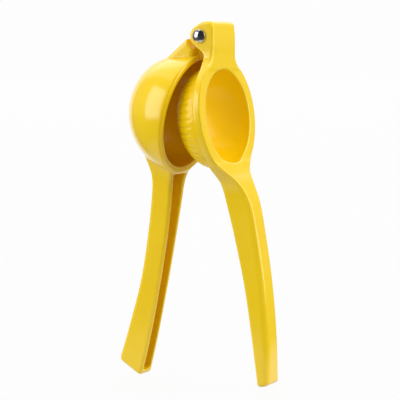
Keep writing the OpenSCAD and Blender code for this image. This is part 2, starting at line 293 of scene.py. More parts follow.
@dataclass(frozen=True)
class Net:
    """Turns a signed distance into an even mesh of quads."""

    low: tuple[float, float, float]
    high: tuple[float, float, float]
    cell: float
    slices: int = 24
    settle: int = 3
    smooth: int = 3
    stride: float = 0.3
    least_slope: float = 0.5

    def sample(self, shape: "Casting") -> tuple[Array, list[Array]]:
        """Measure the shape at the corners of a grid of cells, in slices to save memory.

        Args:
            shape: The shape to measure.

        Returns:
            Signed distances on the grid, and the grid's places along each axis.
        """
        axes = [np.arange(a, b + self.cell, self.cell) for a, b in zip(self.low, self.high)]
        value = np.empty([len(a) for a in axes], np.float32)
        for start in range(0, len(axes[2]), self.slices):
            part = slice(start, start + self.slices)
            value[:, :, part] = shape.distance(*np.meshgrid(axes[0], axes[1], axes[2][part], indexing="ij"))
        return value, axes

    def mesh(self, shape: "Casting") -> tuple[Array, Array]:
        """Lay a net of quads over the shape.

        Each cell that the surface crosses gets one point, at the middle of the crossings on its
        edges, and each crossed edge joins the points of its four cells. The points are then
        spread evenly and drawn onto the surface along the distance's gradient.

        Args:
            shape: The shape to cover.

        Returns:
            Points of shape (n, 3) and quads of shape (m, 4).
        """
        value, axes = self.sample(shape)
        inside = value < 0
        cells = np.array(value.shape) - 1
        count = sum(
            inside[i : i + cells[0], j : j + cells[1], k : k + cells[2]].astype(np.int8)
            for i in (0, 1)
            for j in (0, 1)
            for k in (0, 1)
        )
        active = (count > 0) & (count < 8)
        number = np.full(cells, -1, np.int64)
        number[active] = np.arange(np.count_nonzero(active))
        total = np.zeros((np.count_nonzero(active), 3))
        tally = np.zeros(len(total))
        quads = []
        for axis in range(3):
            one, two = (axis + 1) % 3, (axis + 2) % 3
            head = [slice(None)] * 3
            tail = [slice(None)] * 3
            head[axis], tail[axis] = slice(0, -1), slice(1, None)
            crossed = inside[tuple(head)] != inside[tuple(tail)]
            place = np.argwhere(crossed)
            a = value[tuple(head)][crossed].astype(float)
            b = value[tuple(tail)][crossed].astype(float)
            point = place.astype(float)
            point[:, axis] += a / (a - b)
            ring = []
            for step_one, step_two in ((-1, -1), (0, -1), (0, 0), (-1, 0)):
                cell = place.copy()
                cell[:, one] += step_one
                cell[:, two] += step_two
                ids = number[tuple(cell.T)]
                ring.append(ids)
                tally += np.bincount(ids, minlength=len(total))
                for k in range(3):
                    total[:, k] += np.bincount(ids, weights=point[:, k], minlength=len(total))
            quad = np.stack(ring, 1)
            outward = a < 0
            quads += [quad[outward], quad[~outward][:, ::-1]]
        points = np.array(self.low) + self.cell * total / tally[:, None]
        quads = np.concatenate(quads)
        points = self.draw(shape, points)
        for _ in range(self.smooth):
            points = self.draw(shape, self.spread(points, quads))
        return points, quads

    def draw(self, shape: "Casting", points: Array) -> Array:
        """Draw points onto the surface: each steps back along the gradient by its distance.

        Args:
            shape: The shape whose surface they seek.
            points: Points near it, shape (n, 3).

        Returns:
            The points after a few short steps.
        """
        reach = self.stride * self.cell
        for _ in range(self.settle):
            here = shape.distance(*points.T)
            slope = self.gradient(shape, points)
            steep = np.maximum((slope**2).sum(1), self.least_slope**2)
            step = here[:, None] * slope / steep[:, None]
            size = np.linalg.norm(step, axis=1, keepdims=True)
            points = points - step * np.minimum(1, reach / np.maximum(size, 1e-9))
        return points

    @staticmethod
    def gradient(shape: "Casting", points: Array) -> Array:
        """Central differences of the distance along the three axes.

        Args:
            shape: The shape that is measured.
            points: Where, shape (n, 3).

        Returns:
            The gradient at each point, shape (n, 3).
        """
        nudge = 0.02
        parts = []
        for axis in range(3):
            offset = np.zeros(3)
            offset[axis] = nudge
            ahead, behind = points + offset, points - offset
            parts.append((shape.distance(*ahead.T) - shape.distance(*behind.T)) / (2 * nudge))
        return np.stack(parts, 1)

    @staticmethod
    def spread(points: Array, quads: Array) -> Array:
        """Move each point half way to the mean of its neighbours along the quads' edges.

        Args:
            points: The net's points, shape (n, 3).
            quads: Its quads, shape (m, 4).

        Returns:
            The moved points.
        """
        start = quads.ravel()
        end = np.roll(quads, -1, axis=1).ravel()
        number = np.bincount(start, minlength=len(points)) + np.bincount(end, minlength=len(points))
        mean = np.stack(
            [
                np.bincount(start, weights=points[end, k], minlength=len(points))
                + np.bincount(end, weights=points[start, k], minlength=len(points))
                for k in range(3)
            ],
            1,
        )
        return points + 0.5 * (mean / number[:, None] - points)

    def bend(self, shape: "Casting", points: Array, radius: float = 0.5) -> Array:
        """How sharply the surface bends: the distance's mean over six near places, less its own.

        Args:
            shape: The shape that the points lie on.
            points: Points on its surface.
            radius: How far off the near places lie.

        Returns:
            Above 0 on outer edges and below 0 in corners, in about 1 / mm.
        """
        total = -6 * shape.distance(*points.T)
        for axis in range(3):
            offset = np.zeros(3)
            offset[axis] = radius
            total = total + shape.distance(*(points + offset).T) + shape.distance(*(points - offset).T)
        return total / radius**2


@dataclass(frozen=True)
class Stance:
    """Where a lever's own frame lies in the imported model."""

    hinge: tuple[float, float, float]
    tilt: float

    def place(self, points: Array) -> Array:
        """Turn points about Y by the tilt, and move them to the hinge.

        Args:
            points: Points in the lever's frame in millimetres, shape (n, 3).

        Returns:
            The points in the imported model, in metres.
        """
        c, s = math.cos(self.tilt), math.sin(self.tilt)
        x, y, z = points.T
        return np.stack([x * c + z * s, y, z * c - x * s], 1) * MM + np.array(self.hinge)


def stances() -> dict[Body, Stance]:
    """Read both levers' stances from the frame.

    Returns:
        The stance of each body: the press side faces the way of the fork's mount, and the bowl
        side leans the other way by what is left of the angle between the levers.
    """
    record = frame["record"]
    hinge = tuple(record["behaviour"]["joints"][0]["pos_m"])
    axis = next(m["axis"] for m in record["mounts"] if m["name"] == "fork_face")
    lean = math.atan2(axis[2], axis[0])
    return {Body.PRESS: Stance(hinge, -lean), Body.BOWL: Stance(hinge, math.radians(OPEN_ANGLE) - lean)}


def build_mesh(name: str, points: Array, faces: list[Array]) -> bpy.types.Object:
    """Make a smooth-shaded object from arrays.

    Args:
        name: Name of the piece.
        points: Points in metres, shape (n, 3).
        faces: Arrays of faces, each of one number of corners.

    Returns:
        The new object, at the origin.
    """
    mesh = bpy.data.meshes.new(name)
    corners = np.concatenate([f.ravel() for f in faces]).astype(np.int32)
    sizes = np.concatenate([np.full(len(f), f.shape[1]) for f in faces]).astype(np.int32)
    mesh.vertices.add(len(points))
    mesh.vertices.foreach_set("co", points.astype(np.float32).ravel())
    mesh.loops.add(len(corners))
    mesh.loops.foreach_set("vertex_index", corners)
    mesh.polygons.add(len(sizes))
    mesh.polygons.foreach_set("loop_start", np.concatenate([[0], np.cumsum(sizes)[:-1]]).astype(np.int32))
    mesh.polygons.foreach_set("use_smooth", np.ones(len(sizes), bool))
    mesh.update(calc_edges=True)
    mesh.validate()
    piece = bpy.data.objects.new(name, mesh)
    bpy.context.scene.collection.objects.link(piece)
    return piece


def add_attribute(piece: bpy.types.Object, name: str, values: Array) -> None:
    """Store one number a point on the mesh."""
    attribute = piece.data.attributes.new(name, "FLOAT", "POINT")
    attribute.data.foreach_set("value", values.astype(np.float32))


def turned_faces(rings: int, steps: int) -> list[Array]:
    """Faces of a closed turned surface whose first and last points are its poles.

    Args:
        rings: Number of rings between the poles.
        steps: Points on each ring.

    Returns:
        The triangles at both poles and the quads between the rings.
    """
    i = np.arange(steps)
    j = (i + 1) % steps
    row = 1 + steps * np.arange(rings - 1)[:, None]
    quads = np.stack([row + i, row + steps + i, row + steps + j, row + j], 2).reshape(-1, 4)
    foot = 1 + steps * (rings - 1)
    start = np.stack([np.zeros(steps, int), 1 + i, 1 + j], 1)
    end = np.stack([np.full(steps, foot + steps), foot + j, foot + i], 1)
    return [start, quads, end]


# ---- Finishes ----


class Wire:
    """A shader socket that Python's operators work on, each by one Math node."""

    def __init__(self, shader: "Shader", socket: bpy.types.NodeSocket) -> None:
        """Wrap an output socket of a shader's tree."""
        self.shader = shader
        self.socket = socket

    def _math(self, operation: str, *values: "Wire | float") -> "Wire":
        """Add one Math node on the given values."""
        return self.shader.node("ShaderNodeMath", {"operation": operation}, dict(enumerate(values)))

    def __add__(self, other: "Wire | float") -> "Wire":
        """Add."""
        return self._math("ADD", self, other)

    def __sub__(self, other: "Wire | float") -> "Wire":
        """Subtract."""
        return self._math("SUBTRACT", self, other)

    def __mul__(self, other: "Wire | float") -> "Wire":
        """Multiply."""
        return self._math("MULTIPLY", self, other)

    def __rsub__(self, other: float) -> "Wire":
        """Subtract this from a number."""
        return self._math("SUBTRACT", other, self)

    __radd__ = __add__
    __rmul__ = __mul__

    def ramp(self, low: float, high: float) -> "Wire":
        """Go smoothly from 0 at low to 1 at high."""
        sockets = {"Value": self, "From Min": low, "From Max": high}
        return self.shader.node("ShaderNodeMapRange", {"interpolation_type": "SMOOTHSTEP"}, sockets)


class Shader:
    """A material or world tree, built one node at a time."""

    def __init__(self, owner: bpy.types.ID) -> None:
        """Empty the owner's tree and keep it.

        Args:
            owner: The material or world.
        """
        owner.use_nodes = True
        self.tree = owner.node_tree
        self.tree.nodes.clear()

    def node(self, kind: str, settings: dict, sockets: dict, output: int | str = 0) -> Wire:
        """Add a node: its settings first, then its sockets' values and links.

        Args:
            kind: Type of the node.
            settings: Properties of the node.
            sockets: Values or wires for its inputs, by name or number.
            output: Which output to return.

        Returns:
            The wrapped output.
        """
        made = self.tree.nodes.new(kind)
        for name, value in settings.items():
            setattr(made, name, value)
        for name, value in sockets.items():
            if isinstance(value, Wire):
                self.tree.links.new(value.socket, made.inputs[name])
            else:
                made.inputs[name].default_value = value
        return Wire(self, made.outputs[output] if len(made.outputs) else None)

    def noise(self, where: Wire, scale: float, detail: float = 2.0) -> Wire:
        """Smooth noise with the given number of bumps a metre."""
        sockets = {"Vector": where, "Scale": scale, "Detail": detail}
        return self.node("ShaderNodeTexNoise", {}, sockets, "Fac")

    def stored(self, name: str) -> Wire:
        """A number that the mesh stores for each point."""
        return self.node("ShaderNodeAttribute", {"attribute_name": name}, {}, "Fac")

    def bump(self, height: Wire, strength: float, distance: float) -> Wire:
        """A normal tilted by a height that is counted in the given distance."""
        sockets = {"Strength": strength, "Distance": distance, "Height": height}
        return self.node("ShaderNodeBump", {}, sockets, "Normal")

    def vector(self, operation: str, one: Wire, two: tuple = (0, 0, 0), output: int | str = 0) -> Wire:
        """Add a Vector Math node."""
        return self.node("ShaderNodeVectorMath", {"operation": operation}, {0: one, 1: two}, output)

    def mix(self, share: Wire | float, one: Wire | tuple, two: Wire | tuple) -> Wire:
        """Blend two colours."""
        return self.node("ShaderNodeMix", {"data_type": "RGBA"}, {0: share, 6: one, 7: two}, 2)


@dataclass(frozen=True)
class Enamel:
    """Gloss enamel under a clear coat, with a painted highlight on edges, where the enamel also thins.

    Corners get pooled enamel and painted shade, hollows get painted shade, and the rim's round edge
    gets a painted dark reflection. The coat fades in the hollows and along that edge, and a fine peel
    and a slow swell ripple it.
    Pitches are in millimetres, and scales are bumps a metre.
    """

    base: tuple[float, float, float, float] = (0.965, 0.66, 0.003, 1)
    deep: tuple[float, float, float, float] = (0.945, 0.625, 0.002, 1)
    # Thin enamel and a painted highlight on convex edges
    edge: tuple[float, float, float, float] = (0.99, 0.73, 0.04, 1)
    # Pooled enamel and painted shade in corners; also the painted dark reflection on the rim's round edge
    corner: tuple[float, float, float, float] = (0.86, 0.5, 0.001, 1)
    # Painted shade in the hollows: the bowl, the channels and the dome's hollow
    hollow_shade: tuple[float, float, float, float] = (0.8, 0.44, 0.001, 1)
    roughness: float = 0.3
    smear: float = 0.08
    ior: float = 1.15
    coat: float = 1.0
    coat_roughness: float = 0.16
    coat_ior: float = 1.6
    cloud_scale: float = 28
    smear_scale: float = 90
    swell_scale: float = 110
    swell_height: float = 0.05
    peel_pitch: float = 1.1
    peel_height: float = 0.012
    bump: float = 0.5
    clouds: float = 0.7
    # Shares of the painted highlight on edges and of the painted shade in corners
    on_edges: float = 0.85
    in_corners: float = 0.55
    # Share of the painted dark reflection on the rim's round edge, and how much the coat fades there
    on_edge_shade: float = 0.7
    dull_within: float = 0.85
    dull_edge_shade: float = 0.8

    def material(self, name: str, bent: bool) -> bpy.types.Material:
        """Build the enamel.

        Args:
            name: Name of the material.
            bent: True where the mesh stores how sharply it bends, the painted shade in the hollows and
                the painted dark reflection on the rim's edge.

        Returns:
            The material.
        """
        made = bpy.data.materials.new(name)
        shader = Shader(made)
        where = shader.node("ShaderNodeTexCoord", {}, {}, "Object")
        cloud = shader.noise(where, self.cloud_scale, 3).ramp(0.3, 0.7)
        colour = shader.mix(cloud * self.clouds, self.base, self.deep)
        coat = self.coat
        if bent:
            bend, within, edge_shade = (shader.stored(name) for name in ("bend", "within", "edge_shade"))
            # Painted highlight on convex edges, where the enamel also thins
            colour = shader.mix(bend.ramp(0.4, 1.5) * self.on_edges, colour, self.edge)
            # Painted shade in concave corners, where the enamel also pools
            colour = shader.mix((bend * -1).ramp(0.1, 1.2) * self.in_corners, colour, self.corner)
            # Painted shade in the hollows
            colour = shader.mix(within, colour, self.hollow_shade)
            # Painted dark reflection along the rim's round edge
            colour = shader.mix(edge_shade * self.on_edge_shade, colour, self.corner)
            coat = self.coat * (1 - within.ramp(0, 0.2) * self.dull_within) * (1 - edge_shade * self.dull_edge_shade)
        rough = self.roughness + (shader.noise(where, self.smear_scale, 2) - 0.5) * self.smear
        peel = shader.noise(where, 1 / (self.peel_pitch * MM), 1) * self.peel_height
        swell = shader.noise(where, self.swell_scale, 1) * self.swell_height
        surface = shader.node(
            "ShaderNodeBsdfPrincipled",
            {},
            {
                "Base Color": colour,
                "Roughness": rough,
                "IOR": self.ior,
                "Coat Weight": coat,
                "Coat Roughness": self.coat_roughness,
                "Coat IOR": self.coat_ior,
                "Normal": shader.bump(peel + swell, self.bump, MM),
            },
        )
        shader.node("ShaderNodeOutputMaterial", {}, {"Surface": surface})
        return made


@dataclass(frozen=True)
class Polish:
    """Bright plated steel with a faint haze and fine polishing marks."""

    base: tuple[float, float, float, float] = (0.78, 0.79, 0.81, 1)
    haze: tuple[float, float, float, float] = (0.7, 0.7, 0.72, 1)
    roughness: float = 0.06
    haze_roughness: float = 0.06
    haze_scale: float = 700
    mark_scale: float = 2500
    mark_height: float = 0.02
    bump: float = 0.15

    def material(self, name: str) -> bpy.types.Material:
        """Build the polished metal.

        Args:
            name: Name of the material.

        Returns:
            The material.
        """
        made = bpy.data.materials.new(name)
        shader = Shader(made)
        where = shader.node("ShaderNodeTexCoord", {}, {}, "Object")
        haze = shader.noise(where, self.haze_scale, 3).ramp(0.35, 0.7)
        marks = shader.noise(where, self.mark_scale, 2)
        surface = shader.node(
            "ShaderNodeBsdfPrincipled",
            {},
            {
                "Base Color": shader.mix(haze, self.base, self.haze),
                "Metallic": 1.0,
                "Roughness": self.roughness + haze * self.haze_roughness,
                "Normal": shader.bump(marks, self.bump, self.mark_height * MM),
            },
        )
        shader.node("ShaderNodeOutputMaterial", {}, {"Surface": surface})
        return made


# ---- The castings ----


class Casting:
    """A cast lever, given by its signed distance."""

    name: str
    body: Body
    net: Net

    def distance(self, x: Array, y: Array, z: Array) -> Array:
        """Signed distance to the casting in its own frame, in millimetres."""
        raise NotImplementedError

    def within(self, x: Array, y: Array, z: Array) -> Array:
        """How much painted shade the surface gets: 1 where it lines a deep hollow and 0 elsewhere."""
        raise NotImplementedError

    def edge_shade(self, x: Array, y: Array, z: Array) -> Array:
        """1 along the round edge that gets a painted dark reflection, and 0 elsewhere."""
        raise NotImplementedError

    def build(self, stance: Stance, material: bpy.types.Material) -> bpy.types.Object:
        """Mesh the casting and dress it.

        Args:
            stance: Where the lever stands.
            material: Its enamel.

        Returns:
            The finished piece.
        """
        points, quads = self.net.mesh(self)
        piece = build_mesh(self.name, stance.place(points), [quads])
        # How sharply the surface bends, for the painted highlight on edges and the painted shade in corners
        add_attribute(piece, "bend", self.net.bend(self, points))
        # Where painted shade goes in the hollows
        add_attribute(piece, "within", self.within(*points.T))
        # Where the painted dark reflection runs on the rim's round edge
        add_attribute(piece, "edge_shade", self.edge_shade(*points.T))
        piece.data.materials.append(material)
        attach(piece, self.body.value)
        log.info("%s: %d points, %d quads", self.name, len(points), len(quads))
        return piece


@dataclass(frozen=True)
class BowlLever(Casting):
    """The bowl, its neck and tongue, and its handle.

    Reaches are distances down from the hinge, and set-backs are depths below its height. The
    ball's wall thins behind the neck, and the rim falls away where the handle starts.
    """

    name: str = "bowl_casting"
    body: Body = Body.BOWL
    net: Net = Net((-42, -39, -218), (12, 39, 12), 0.72)
    reach: float = 48.1
    inner_r: float = 33.0
    wall: float = 4.39
    thinning: float = 1.6
    thin_reach: float = 28.0
    thin_over: float = 12.0
    set_back: float = 2.9
    rim_set_back: float = 0.35
    rim_round: float = 2.0
    rim_fall: float = 0.6
    ball_fall_reach: float = 88.0
    handle_fall_reach: float = 90.0
    lip_round: float = 1.7
    hole_r: float = 2.1
    hole_pitch: float = 6.6
    hole_rings: int = 2
    hole_round: float = 0.45
    # Where the painted dark reflection runs along the bowl rim's round edge
    edge_shade_in: float = 0.1
    edge_shade_down: float = 1.8
    edge_shade_width: tuple[float, float] = (0.3, 1.1)
    edge_shade_end: tuple[float, float] = (24.0, 30.0)
    neck_w: float = 26.0
    neck_set_back: float = 3.4
    neck_back: float = 10.2
    shoulder_reach: float = 4.6
    neck_slope: float = 37.0
    shoulder_r: float = 9.8
    ridge_round: float = 1.0
    neck_side_round: float = 2.2
    shoulder_round: float = 0.7
    neck_fillet: float = 0.6
    handle_fillet: float = 1.3
    tongue_w: float = 13.0
    tongue_r: float = 5.5
    tongue_round: float = 0.5
    tongue_fillet: float = 0.8
    bore_r: float = 2.55
    handle: Handle = Handle(
        stations=(
            Station(79, 1.2, 20, 28),
            Station(90, 1.7, 14.4, 20.4),
            Station(104, 0.2, 13.6, 17.2),
            Station(127, -1.7, 13.6, 14.6),
            Station(155, -3.1, 13.7, 13.5),
            Station(187, -3.85, 16.05, 13.1),
            Station(214.8, -3.4, 17.68, 13.8),
        ),
        slant=19,
        channel_top=85.6,
        channel_share=0.3,
        channel_round=1.0,
        inner_round=1.8,
        outer_round=2.6,
        root_round=2.6,
        heel_round=4.2,
    )

    def neck(self, u: Array, v: Array, y: Array) -> Array:
        """The neck: four flats and a hollow end round the pin, with soft edges.

        Args:
            u: Distances down the lever.
            v: Heights, towards the press side.
            y: Distances across it.

        Returns:
            Signed distance to the neck.
        """
        slope = math.radians(self.neck_slope)
        front = v + self.neck_set_back
        back = -((v + self.neck_back) * math.cos(slope) + (u - self.shoulder_reach) * math.sin(slope))
        block = common(front, back, self.ridge_round)
        block = common(block, np.abs(y) - self.neck_w / 2, self.neck_side_round)
        block = cut(block, np.hypot(u, v) - self.shoulder_r, self.shoulder_round)
        block = np.maximum(block, u - self.reach + self.inner_r / 2)
        return np.maximum(block, v)

    def tongue(self, u: Array, v: Array, y: Array) -> Array:
        """The tongue: a flat plate round the pin that widens into the neck, less the pin's bore.

        Args:
            u: Distances down the lever.
            v: Heights, towards the press side.
            y: Distances across it.

        Returns:
            Signed distance to the tongue.
        """
        foot = self.reach - self.inner_r
        front = beyond(u, v, (0, self.tongue_r), (foot, -self.rim_set_back))
        back = -v - self.tongue_r - np.maximum(u - self.shoulder_r, 0)
        plate = np.maximum(np.maximum(front, back), np.maximum(-u, u - foot))
        plate = np.minimum(plate, np.hypot(u, v) - self.tongue_r)
        plate = common(plate, np.abs(y) - self.tongue_w / 2, self.tongue_round)
        return np.maximum(plate, self.bore_r - np.hypot(u, v))

    def holes(self, u: Array, v: Array, y: Array) -> Array:
        """The juice holes: the nearest of rings of bores round the bowl's middle.

        Args:
            u: Distances down the lever.
            v: Heights, towards the press side.
            y: Distances across it.

        Returns:
            Signed distance, negative in the holes.
        """
        nearest = np.hypot(u - self.reach, y)
        for ring in range(1, self.hole_rings + 1):
            for turn in 2 * math.pi * np.arange(6 * ring) / (6 * ring):
                a = u - self.reach + ring * self.hole_pitch * math.cos(turn)
                b = y + ring * self.hole_pitch * math.sin(turn)
                nearest = np.minimum(nearest, np.hypot(a, b))
        return np.maximum(nearest - self.hole_r, v)

    def within(self, x: Array, y: Array, z: Array) -> Array:
        """Painted shade: 1 on the inner ball, about half in the channel and a third on the hollow end
        by the pin.

        Args:
            x: Places towards the press side, in the lever's frame.
            y: Places across it.
            z: Places up it.

        Returns:
            How much painted shade each place gets, from 0 to 1.
        """
        ball = np.sqrt((z + self.reach) ** 2 + y**2 + (x + self.set_back) ** 2)
        # Painted shade on the inner ball, in the channel and on the hollow end by the pin
        hollow_shade = fade(ball - self.inner_r, 0.05, 0.35)
        channel = 0.55 * self.handle.hollow_shade(-z, -x, y)
        shoulder = 0.35 * fade(np.hypot(x, z) - self.shoulder_r, 0.1, 0.6)
        return np.maximum(np.maximum(hollow_shade, channel), shoulder)

    def edge_shade(self, x: Array, y: Array, z: Array) -> Array:
        """Where a painted dark reflection goes: 1 on the outer edge of the bowl's rim, fading out towards
        the handle and the neck.

        Args:
            x: Places towards the press side, in the lever's frame.
            y: Places across it.
            z: Places up it.

        Returns:
            How near the edge each place is, from 0 to 1.
        """
        down = -z - self.reach
        ring = self.inner_r + self.wall - self.edge_shade_in
        edge = np.hypot(np.hypot(down, y) - ring, x + self.rim_set_back + self.edge_shade_down)
        return fade(edge, *self.edge_shade_width) * fade(np.abs(down), *self.edge_shade_end)

    def distance(self, x: Array, y: Array, z: Array) -> Array:
        """Ball, neck and handle joined, less the inner ball, the holes and all above the rim.

        Args:
            x: Places towards the press side, in the lever's frame.
            y: Places across it.
            z: Places up it.

        Returns:
            Signed distance to the casting, in millimetres.
        """
        u, v = -z, x
        ball = np.sqrt((u - self.reach) ** 2 + y**2 + (v + self.set_back) ** 2)
        upper = fade(u, self.thin_reach - self.thin_over, self.thin_reach)
        thin = self.thinning * upper**2 * (1 - fade(-v, 0, self.thin_over))
        solid = ball - self.inner_r - self.wall + thin
        solid = join(solid, self.neck(u, v, y), self.neck_fillet)
        rim = v + self.rim_set_back
        ball_top = rim - self.rim_fall * np.maximum(u - self.ball_fall_reach, 0)
        solid = common(solid, ball_top, self.rim_round)
        solid = join(solid, self.handle.distance(u, -v, y), self.handle_fillet)
        handle_top = rim - self.rim_fall * np.maximum(u - self.handle_fall_reach, 0)
        solid = common(solid, handle_top, self.rim_round)
        solid = join(solid, self.tongue(u, v, y), self.tongue_fillet)
        solid = cut(solid, ball - self.inner_r, self.lip_round)
        return cut(solid, self.holes(u, v, y), self.hole_round)


@dataclass(frozen=True)
class Dome:
    """A ball-shaped crown that blends into a round shoulder, in radius and height."""

    foot_r: float
    depth: float
    shoulder_r: float
    foot: float

    @property
    def knee(self) -> float:
        """Radius of the ring on which the shoulder's middle lies."""
        return self.foot_r - self.shoulder_r

    @property
    def crown_r(self) -> float:
        """Radius of the ball that touches the shoulder and reaches the depth."""
        k, d, s = self.knee, self.depth, self.shoulder_r
        return (k * k + d * d - s * s) / (2 * (d - s))

    @property
    def crown(self) -> float:
        """Height of the ball's middle."""
        return self.foot - self.depth + self.crown_r

    @property
    def bend(self) -> float:
        """Angle from the axis at which the crown meets the shoulder."""
        return math.atan2(self.knee, self.crown - self.foot)

    def distance(self, radius: Array, height: Array) -> Array:
        """Distance to the ball within the cone of the crown, and to the shoulder outside it.

        Args:
            radius: Distances from the dome's axis.
            height: Heights along it.

        Returns:
            Signed distance, negative in the dome.
        """
        ball = np.hypot(radius, height - self.crown) - self.crown_r
        ring = np.hypot(radius - self.knee, np.minimum(height - self.foot, 0)) - self.shoulder_r
        lean = np.arctan2(radius, self.crown - height)
        inner = np.where(radius < self.knee, -self.shoulder_r, ring)
        return np.where((lean < self.bend) & (height < self.crown), ball, np.maximum(ring, inner))

    def section(self, share: Array) -> tuple[Array, Array, Array, Array]:
        """The outline from the pole to the foot, evenly spaced.

        Args:
            share: Shares of the outline's length, from 0 at the pole to 1 at the foot.

        Returns:
            Radius, height, and the outward normal's two parts.
        """
        first = self.crown_r * self.bend
        second = self.shoulder_r * (math.pi / 2 - self.bend)
        way = share * (first + second)
        on_crown = way < first
        angle = np.where(on_crown, way / self.crown_r, self.bend + (way - first) / self.shoulder_r)
        middle_r = np.where(on_crown, 0, self.knee)
        middle_h = np.where(on_crown, self.crown, self.foot)
        size = np.where(on_crown, self.crown_r, self.shoulder_r)
        out_r, out_h = np.sin(angle), -np.cos(angle)
        return middle_r + size * out_r, middle_h + size * out_h, out_r, out_h


@dataclass(frozen=True)
class PressLever(Casting):
    """The plate with its hollow dome, the fork and the handle.

    The fork's sides flare, and the plate's face falls towards the handle, each along a parabola
    that is given by the radius it starts with.
    """

    name: str = "press_casting"
    body: Body = Body.PRESS
    net: Net = Net((-27, -38, -215), (25, 38, 11), 0.72)
    plate_reach: float = 48.3
    plate_r: float = 35.7
    plate_back: float = 1.4
    plate_front: float = 6.4
    plate_round: float = 0.9
    plate_fall: float = 71.0
    plate_fall_r: float = 9.0
    face_round: float = 0.6
    handle_fillet: float = 5.0
    # Where the painted dark reflection runs along the plate's front edge
    edge_shade_in: float = 0.2
    edge_shade_down: float = 0.4
    edge_shade_width: tuple[float, float] = (0.3, 1.0)
    edge_shade_end: tuple[float, float] = (26.0, 31.0)
    dome_reach: float = 48.6
    dome: Dome = Dome(30.2, 24.3, 16.3, 1.4)
    dome_sink: float = 2.0
    dome_fillet: float = 1.2
    hollow: Dome = Dome(28.1, 26.7, 13.7, 6.4)
    hollow_lip: float = 0.8
    fork_w: float = 30.0
    fork_front: float = 9.2
    fork_top: float = 8.24
    fork_crown_r: float = 3.5
    fork_brow: float = 1.3
    fork_run_out: float = 10.0
    fork_toe: float = 18.2
    fork_toe_round: float = 4.0
    fork_sink: float = 2.0
    fork_flare: float = 8.0
    fork_flare_r: float = 18.0
    fork_side_round: float = 0.5
    fork_back_round: float = 0.8
    fork_fillet: float = 3.0
    ear_r: float = 6.5
    ear_lean: float = 18.0
    ear_fillet: float = 0.9
    facet: float = 1.5
    slot_w: float = 13.9
    slot_floor_r: float = 6.0
    slot_reach: float = 14.4
    slot_run: float = 8.8
    slot_drop: float = 10.0
    slot_turn: float = 149.0
    slot_round: float = 0.5
    bore_r: float = 2.55
    handle: Handle = Handle(
        stations=(
            Station(77, 1.4, 5.1, 40),
            Station(89, 1.9, 12.3, 21),
            Station(101, 2.9, 15.6, 15.8),
            Station(120, 5.6, 14.9, 15.2),
            Station(150, 9, 12.9, 15.8),
            Station(183, 10.6, 10.6, 16.4),
            Station(211.7, 11.4, 6.6, 16.8),
        ),
        slant=8,
        channel_top=93,
        channel_share=0.33,
        outer_round=4.8,
        root_round=1.8,
        soften_over=100,
    )

    def fork(self, u: Array, v: Array, y: Array) -> Array:
        """The fork: a block over both ears, round about the pin, that runs out into the plate.

        Args:
            u: Distances down the lever.
            v: Heights, towards the press side.
            y: Distances across it.

        Returns:
            Signed distance to the fork, without its slot.
        """
        fall = beyond(u, v, (self.fork_run_out, self.fork_front), (self.fork_toe, self.plate_front))
        front = common(v - self.fork_front, fall, self.fork_toe_round)
        shell = common(front, -u - self.fork_top, self.fork_crown_r)
        flare = np.maximum(u - self.fork_flare, 0) ** 2 / (2 * self.fork_flare_r)
        across = np.abs(y) - self.fork_w / 2 - flare
        bevel = (shell + across + self.facet) * math.sqrt(0.5)
        lean = math.radians(self.ear_lean)
        ear_top = (-self.ear_r * math.cos(lean), -self.ear_r * math.sin(lean))
        brow = beyond(u, v, ear_top, (-self.fork_top, self.fork_brow))
        low = (self.ear_r * math.sqrt(0.5), -self.ear_r * math.sqrt(0.5))
        under = (u - low[0] - (v - low[1])) * math.sqrt(0.5)
        ears = np.maximum(np.maximum(brow, under), -v - self.ear_r / 2)
        ears = np.minimum(ears, np.hypot(u, v) - self.ear_r)
        slab = np.maximum(np.maximum(self.plate_back - v, -u), u - self.fork_toe - self.fork_sink)
        block = common(shell, across, self.fork_side_round)
        block = common(block, bevel, self.fork_side_round, math.sqrt(0.5))
        return common(block, join(ears, slab, self.ear_fillet), self.fork_back_round)

    def slot(self, u: Array, v: Array, y: Array) -> Array:
        """The slot between the ears, clear for the tongue from levers together to wide open.

        Args:
            u: Distances down the lever.
            v: Heights, towards the press side.
            y: Distances across it.

        Returns:
            Signed distance, negative in the slot.
        """
        foot = (self.slot_reach, self.plate_back)
        floor = beyond(u, v, (0, self.slot_floor_r), foot)
        away = beyond(u, v, foot, (foot[0] + self.slot_run, foot[1] - self.slot_drop))
        turn = math.radians(self.slot_turn)
        back = -u * math.sin(turn) - v * math.cos(turn) - self.slot_floor_r
        side = np.maximum(np.maximum(floor, away), back)
        side = np.minimum(side, np.hypot(u, v) - self.slot_floor_r)
        return np.maximum(side, np.abs(y) - self.slot_w / 2)

    def within(self, x: Array, y: Array, z: Array) -> Array:
        """Painted shade: a quarter in the dome's hollow and 1 in the channel, fading to 0 on their edges.

        Args:
            x: Places towards the press side, in the lever's frame.
            y: Places across it.
            z: Places up it.

        Returns:
            How much painted shade each place gets, from 0 to 1.
        """
        # Painted shade in the dome's hollow and in the channel
        hollow = self.hollow.distance(np.hypot(-z - self.plate_reach, y), x)
        return np.maximum(0.25 * fade(hollow, -0.2, 0.3), self.handle.hollow_shade(-z, x, y))

    def edge_shade(self, x: Array, y: Array, z: Array) -> Array:
        """Where a painted dark reflection goes: 1 on the front edge of the plate, fading out towards the
        handle and the fork.

        Args:
            x: Places towards the press side, in the lever's frame.
            y: Places across it.
            z: Places up it.

        Returns:
            How near the edge each place is, from 0 to 1.
        """
        down = -z - self.plate_reach
        ring = self.plate_r - self.edge_shade_in
        edge = np.hypot(np.hypot(down, y) - ring, x - self.plate_front + self.edge_shade_down)
        return fade(edge, *self.edge_shade_width) * fade(np.abs(down), *self.edge_shade_end)

